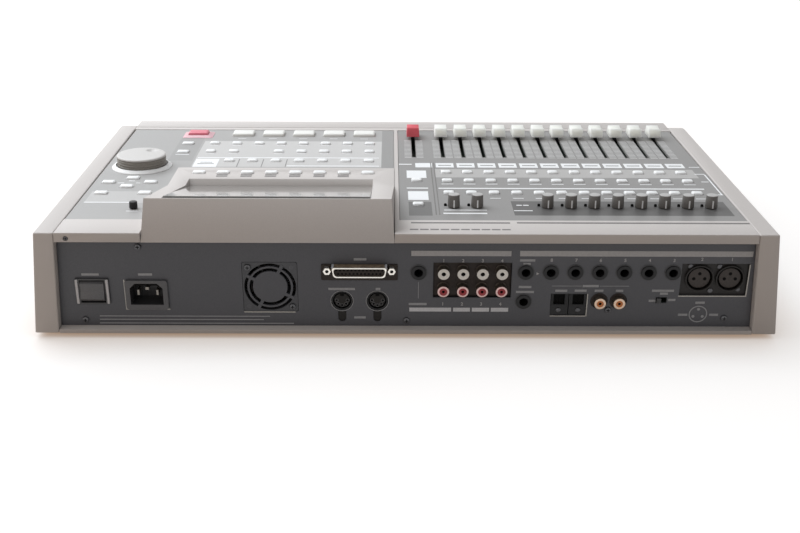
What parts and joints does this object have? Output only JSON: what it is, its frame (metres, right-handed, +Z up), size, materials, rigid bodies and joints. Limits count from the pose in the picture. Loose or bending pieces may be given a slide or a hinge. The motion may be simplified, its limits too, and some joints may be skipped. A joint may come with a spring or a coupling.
{
  "type": "digital multitrack recorder",
  "caption": "Desktop digital multitrack recorder with faders, knobs, a jog dial, keys, a hooded display and a rear socket panel.",
  "frame": {"origin": "on the table under the middle of the case, at the bottom of the rubber feet", "axes": "+X to the user's right along the width, +Y to the rear with the sockets, +Z up"},
  "size_m": [0.55, 0.3404, 0.107],
  "materials": {
    "case_plastic": "fine-textured light warm grey moulding",
    "deck_paint": "satin grey paint with screen print",
    "rear_paint": "satin charcoal paint",
    "display_glass": "glossy window over a grey display",
    "circuit_board": "green board",
    "bare_steel": "plain sheet steel",
    "cast_drive": "cast and machined",
    "black_plastic": "black moulding",
    "fan_plastic": "black moulding",
    "foot_rubber": "matt rubber",
    "dark_screw": "blackened steel",
    "socket_shell": "dark plated shell and black mouldings",
    "socket_plate": "nickel-plated barrels",
    "ivory_cap": "ivory moulding",
    "red_cap": "red moulding",
    "red_key": "red translucent key",
    "white_key": "white key",
    "knob_grey": "dark grey knob",
    "knob_black": "black knob",
    "dial_plastic": "pale dial with a dark grip",
    "rocker_plastic": "black rocker",
    "slider_plastic": "white slider"
  },
  "bodies": {
    "chassis": {"bottom_tray": "case_plastic", "left_cheek": "case_plastic", "right_cheek": "case_plastic", "top_cover": "case_plastic", "display_hood": "case_plastic", "lcd_module": "display_glass", "control_panel": "deck_paint", "mixer_panel": "deck_paint", "rear_panel": "rear_paint", "control_board": "circuit_board", "mixer_board": "circuit_board", "main_board": "circuit_board", "power_supply": "bare_steel", "hard_drive": "cast_drive", "fan_frame": "black_plastic", "rubber_feet": "foot_rubber", "screws": "dark_screw", "mains_fittings": "black_plastic", "digital_sockets": "socket_shell", "phone_jacks": "black_plastic", "phono_sockets": "socket_plate", "mic_sockets": "black_plastic"},
    "fader_master": {"fader_master": "red_cap"},
    "fader_1": {"fader_1": "ivory_cap"},
    "fader_2": {"fader_2": "ivory_cap"},
    "fader_3": {"fader_3": "ivory_cap"},
    "fader_4": {"fader_4": "ivory_cap"},
    "fader_5": {"fader_5": "ivory_cap"},
    "fader_6": {"fader_6": "ivory_cap"},
    "fader_7": {"fader_7": "ivory_cap"},
    "fader_8": {"fader_8": "ivory_cap"},
    "fader_9": {"fader_9": "ivory_cap"},
    "fader_10": {"fader_10": "ivory_cap"},
    "fader_11": {"fader_11": "ivory_cap"},
    "fader_12": {"fader_12": "ivory_cap"},
    "monitor_knob_1": {"monitor_knob_1": "knob_grey"},
    "monitor_knob_2": {"monitor_knob_2": "knob_grey"},
    "trim_knob_1": {"trim_knob_1": "knob_grey"},
    "trim_knob_2": {"trim_knob_2": "knob_grey"},
    "trim_knob_3": {"trim_knob_3": "knob_grey"},
    "trim_knob_4": {"trim_knob_4": "knob_grey"},
    "trim_knob_5": {"trim_knob_5": "knob_grey"},
    "trim_knob_6": {"trim_knob_6": "knob_grey"},
    "trim_knob_7": {"trim_knob_7": "knob_grey"},
    "trim_knob_8": {"trim_knob_8": "knob_grey"},
    "contrast_knob": {"contrast_knob": "knob_black"},
    "jog_dial": {"jog_dial": "dial_plastic"},
    "power_rocker": {"power_rocker": "rocker_plastic"},
    "phantom_slider": {"phantom_slider": "slider_plastic"},
    "fan_rotor": {"fan_rotor": "fan_plastic"},
    "record_key": {"record_key": "red_key"},
    "transport_key_1": {"transport_key_1": "white_key"},
    "transport_key_2": {"transport_key_2": "white_key"},
    "transport_key_3": {"transport_key_3": "white_key"},
    "transport_key_4": {"transport_key_4": "white_key"},
    "transport_key_5": {"transport_key_5": "white_key"},
    "function_keys": {"function_keys": "white_key"},
    "control_keys": {"control_keys": "white_key"},
    "cursor_keys": {"cursor_keys": "white_key"},
    "mixer_keys": {"mixer_keys": "white_key"}
  },
  "joints": [
    {"name": "fader_master_slide", "type": "slide", "parent": "chassis", "child": "fader_master", "axis": [0, 0.9976, 0.0698], "range_m": [0, 0.06]},
    {"name": "fader_1_slide", "type": "slide", "parent": "chassis", "child": "fader_1", "axis": [0, 0.9976, 0.0698], "range_m": [0, 0.06]},
    {"name": "fader_2_slide", "type": "slide", "parent": "chassis", "child": "fader_2", "axis": [0, 0.9976, 0.0698], "range_m": [0, 0.06]},
    {"name": "fader_3_slide", "type": "slide", "parent": "chassis", "child": "fader_3", "axis": [0, 0.9976, 0.0698], "range_m": [0, 0.06]},
    {"name": "fader_4_slide", "type": "slide", "parent": "chassis", "child": "fader_4", "axis": [0, 0.9976, 0.0698], "range_m": [0, 0.06]},
    {"name": "fader_5_slide", "type": "slide", "parent": "chassis", "child": "fader_5", "axis": [0, 0.9976, 0.0698], "range_m": [0, 0.06]},
    {"name": "fader_6_slide", "type": "slide", "parent": "chassis", "child": "fader_6", "axis": [0, 0.9976, 0.0698], "range_m": [0, 0.06]},
    {"name": "fader_7_slide", "type": "slide", "parent": "chassis", "child": "fader_7", "axis": [0, 0.9976, 0.0698], "range_m": [0, 0.06]},
    {"name": "fader_8_slide", "type": "slide", "parent": "chassis", "child": "fader_8", "axis": [0, 0.9976, 0.0698], "range_m": [0, 0.06]},
    {"name": "fader_9_slide", "type": "slide", "parent": "chassis", "child": "fader_9", "axis": [0, 0.9976, 0.0698], "range_m": [0, 0.06]},
    {"name": "fader_10_slide", "type": "slide", "parent": "chassis", "child": "fader_10", "axis": [0, 0.9976, 0.0698], "range_m": [0, 0.06]},
    {"name": "fader_11_slide", "type": "slide", "parent": "chassis", "child": "fader_11", "axis": [0, 0.9976, 0.0698], "range_m": [0, 0.06]},
    {"name": "fader_12_slide", "type": "slide", "parent": "chassis", "child": "fader_12", "axis": [0, 0.9976, 0.0698], "range_m": [0, 0.06]},
    {"name": "monitor_knob_1_turn", "type": "hinge", "parent": "chassis", "child": "monitor_knob_1", "pos_m": [-0.0361, 0.10755, 0.08063], "axis": [0, -0.0698, 0.9976], "range_deg": [-150, 150]},
    {"name": "monitor_knob_2_turn", "type": "hinge", "parent": "chassis", "child": "monitor_knob_2", "pos_m": [-0.054, 0.10755, 0.08063], "axis": [0, -0.0698, 0.9976], "range_deg": [-150, 150]},
    {"name": "trim_knob_1_turn", "type": "hinge", "parent": "chassis", "child": "trim_knob_1", "pos_m": [-0.1077, 0.10755, 0.08063], "axis": [0, -0.0698, 0.9976], "range_deg": [-150, 150]},
    {"name": "trim_knob_2_turn", "type": "hinge", "parent": "chassis", "child": "trim_knob_2", "pos_m": [-0.1256, 0.10755, 0.08063], "axis": [0, -0.0698, 0.9976], "range_deg": [-150, 150]},
    {"name": "trim_knob_3_turn", "type": "hinge", "parent": "chassis", "child": "trim_knob_3", "pos_m": [-0.1435, 0.10755, 0.08063], "axis": [0, -0.0698, 0.9976], "range_deg": [-150, 150]},
    {"name": "trim_knob_4_turn", "type": "hinge", "parent": "chassis", "child": "trim_knob_4", "pos_m": [-0.1614, 0.10755, 0.08063], "axis": [0, -0.0698, 0.9976], "range_deg": [-150, 150]},
    {"name": "trim_knob_5_turn", "type": "hinge", "parent": "chassis", "child": "trim_knob_5", "pos_m": [-0.1793, 0.10755, 0.08063], "axis": [0, -0.0698, 0.9976], "range_deg": [-150, 150]},
    {"name": "trim_knob_6_turn", "type": "hinge", "parent": "chassis", "child": "trim_knob_6", "pos_m": [-0.1972, 0.10755, 0.08063], "axis": [0, -0.0698, 0.9976], "range_deg": [-150, 150]},
    {"name": "trim_knob_7_turn", "type": "hinge", "parent": "chassis", "child": "trim_knob_7", "pos_m": [-0.2151, 0.10755, 0.08063], "axis": [0, -0.0698, 0.9976], "range_deg": [-150, 150]},
    {"name": "trim_knob_8_turn", "type": "hinge", "parent": "chassis", "child": "trim_knob_8", "pos_m": [-0.233, 0.10755, 0.08063], "axis": [0, -0.0698, 0.9976], "range_deg": [-150, 150]},
    {"name": "contrast_knob_turn", "type": "hinge", "parent": "chassis", "child": "contrast_knob", "pos_m": [0.2065, 0.11364, 0.08106], "axis": [0, -0.0698, 0.9976], "range_deg": [-150, 150]},
    {"name": "jog_dial_turn", "type": "hinge", "parent": "chassis", "child": "jog_dial", "pos_m": [0.2223, 0.00171, 0.07323], "axis": [0, -0.0698, 0.9976], "continuous": true},
    {"name": "power_rocker_tip", "type": "hinge", "parent": "chassis", "child": "power_rocker", "pos_m": [0.2305, 0.16, 0.0357], "axis": [1, 0, 0], "range_deg": [-16, 0]},
    {"name": "phantom_slide", "type": "slide", "parent": "chassis", "child": "phantom_slider", "axis": [-1, 0, 0], "range_m": [0, 0.004]},
    {"name": "fan_spin", "type": "hinge", "parent": "chassis", "child": "fan_rotor", "pos_m": [0.1003, 0.163, 0.0392], "axis": [0, 1, 0], "continuous": true},
    {"name": "record_key_press", "type": "slide", "parent": "chassis", "child": "record_key", "axis": [0, 0.0698, -0.9976], "range_m": [0, 0.0014], "stiffness_N_per_m": 300},
    {"name": "transport_key_1_press", "type": "slide", "parent": "chassis", "child": "transport_key_1", "axis": [0, 0.0698, -0.9976], "range_m": [0, 0.0014], "stiffness_N_per_m": 300},
    {"name": "transport_key_2_press", "type": "slide", "parent": "chassis", "child": "transport_key_2", "axis": [0, 0.0698, -0.9976], "range_m": [0, 0.0014], "stiffness_N_per_m": 300},
    {"name": "transport_key_3_press", "type": "slide", "parent": "chassis", "child": "transport_key_3", "axis": [0, 0.0698, -0.9976], "range_m": [0, 0.0014], "stiffness_N_per_m": 300},
    {"name": "transport_key_4_press", "type": "slide", "parent": "chassis", "child": "transport_key_4", "axis": [0, 0.0698, -0.9976], "range_m": [0, 0.0014], "stiffness_N_per_m": 300},
    {"name": "transport_key_5_press", "type": "slide", "parent": "chassis", "child": "transport_key_5", "axis": [0, 0.0698, -0.9976], "range_m": [0, 0.0014], "stiffness_N_per_m": 300},
    {"name": "function_keys_press", "type": "slide", "parent": "chassis", "child": "function_keys", "axis": [0, 0.0698, -0.9976], "range_m": [0, 0.0008], "stiffness_N_per_m": 2400},
    {"name": "control_keys_press", "type": "slide", "parent": "chassis", "child": "control_keys", "axis": [0, 0.0698, -0.9976], "range_m": [0, 0.0008], "stiffness_N_per_m": 4000},
    {"name": "cursor_keys_press", "type": "slide", "parent": "chassis", "child": "cursor_keys", "axis": [0, 0.0698, -0.9976], "range_m": [0, 0.0008], "stiffness_N_per_m": 2400},
    {"name": "mixer_keys_press", "type": "slide", "parent": "chassis", "child": "mixer_keys", "axis": [0, 0.0698, -0.9976], "range_m": [0, 0.0008], "stiffness_N_per_m": 5000}
  ]
}
